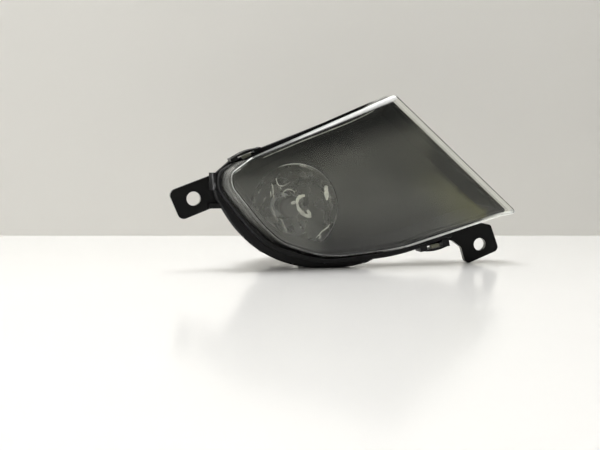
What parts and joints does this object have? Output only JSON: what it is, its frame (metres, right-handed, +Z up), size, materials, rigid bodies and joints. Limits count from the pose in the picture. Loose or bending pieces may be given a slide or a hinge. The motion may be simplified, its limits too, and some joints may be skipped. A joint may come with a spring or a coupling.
{
  "type": "fog light",
  "caption": "Vehicle fog light: clear cap lens tapering to a point over a black housing with a round reflector bowl, drilled mounting ears, twist-lock bulb and aiming screw.",
  "frame": {"origin": "middle of the outline in X and Y, on the surface it stands on (lowest point of the housing and of the right ear)", "axes": "+Z up as it stands on its lower edge; the lens faces -Y and the plug side is +Y; +X runs towards the pointed end of the lens, with its top edge rising 22 degrees towards +X"},
  "size_m": [0.2282, 0.0924, 0.1118],
  "materials": {
    "housing_plastic": "satin moulded black plastic with a fine grain",
    "ear_plastic": "satin moulded black plastic",
    "lens_clear": "clear, slightly yellowed, hazed by condensation inside",
    "bezel_grey": "dark grey, matt",
    "reflector_coat": "vacuum-coated bright metal on plastic",
    "shield_metal": "bright pressed sheet",
    "steel_small": "plated",
    "rubber_black": "matt moulded rubber",
    "rubber_seal": "matt silicone",
    "seal_grey": "matt bead",
    "bulb_glass_clear": "clear, dark coated tip",
    "tungsten": "dull wire",
    "collar_metal": "satin",
    "base_plastic": "satin moulded black plastic",
    "pin_brass": "tinned contact",
    "nylon_white": "natural nylon",
    "filter_felt": "pressed felt disc"
  },
  "bodies": {
    "housing": {"housing": "housing_plastic", "lens": "lens_clear", "lens_seal": "seal_grey", "ear_left": "ear_plastic", "ear_right": "ear_plastic", "bezel": "bezel_grey", "bezel_screws": "steel_small", "rear_boot": "rubber_black", "boot_ring": "steel_small", "adjuster_seal": "rubber_black", "adjuster_washer": "steel_small", "vent_elbow": "rubber_black", "vent_filter": "filter_felt"},
    "reflector": {"reflector": "reflector_coat", "bulb_shield": "shield_metal", "shield_rivets": "steel_small", "pivot_pins": "steel_small", "pivot_caps": "nylon_white"},
    "bulb": {"bulb_glass": "bulb_glass_clear", "bulb_filament": "tungsten", "filament_leads": "tungsten", "bulb_collar": "collar_metal", "bulb_base": "base_plastic", "bulb_seal": "rubber_seal", "plug_shell": "base_plastic", "plug_pins": "pin_brass", "plug_latch": "base_plastic"},
    "adjuster": {"adjuster_screw": "nylon_white", "adjuster_clip": "steel_small"},
    "nut": {"adjuster_nut": "nylon_white"}
  },
  "joints": [
    {"name": "adjuster_turn", "type": "hinge", "parent": "housing", "child": "adjuster", "pos_m": [-0.02205, 0.0138, 0.0134], "axis": [0, 1, 0], "range_deg": [-360, 360]},
    {"name": "nut_slide", "type": "slide", "parent": "housing", "child": "nut", "axis": [0, 1, 0], "range_m": [-0.00201, 0.00201]},
    {"name": "reflector_tilt", "type": "hinge", "parent": "housing", "child": "reflector", "pos_m": [-0.04265, 0.0038, 0.0644], "axis": [0.9272, 0, 0.3746], "range_deg": [-2.33, 2.33]},
    {"name": "bulb_twist", "type": "hinge", "parent": "reflector", "child": "bulb", "pos_m": [-0.03235, 0.0268, 0.0389], "axis": [0, 1, 0], "range_deg": [0, 45]}
  ],
  "couplings": [
    {"joint": "adjuster_turn", "follows": "reflector_tilt", "ratio": -153.94},
    {"joint": "nut_slide", "follows": "reflector_tilt", "m_per_rad": 0.049}
  ]
}
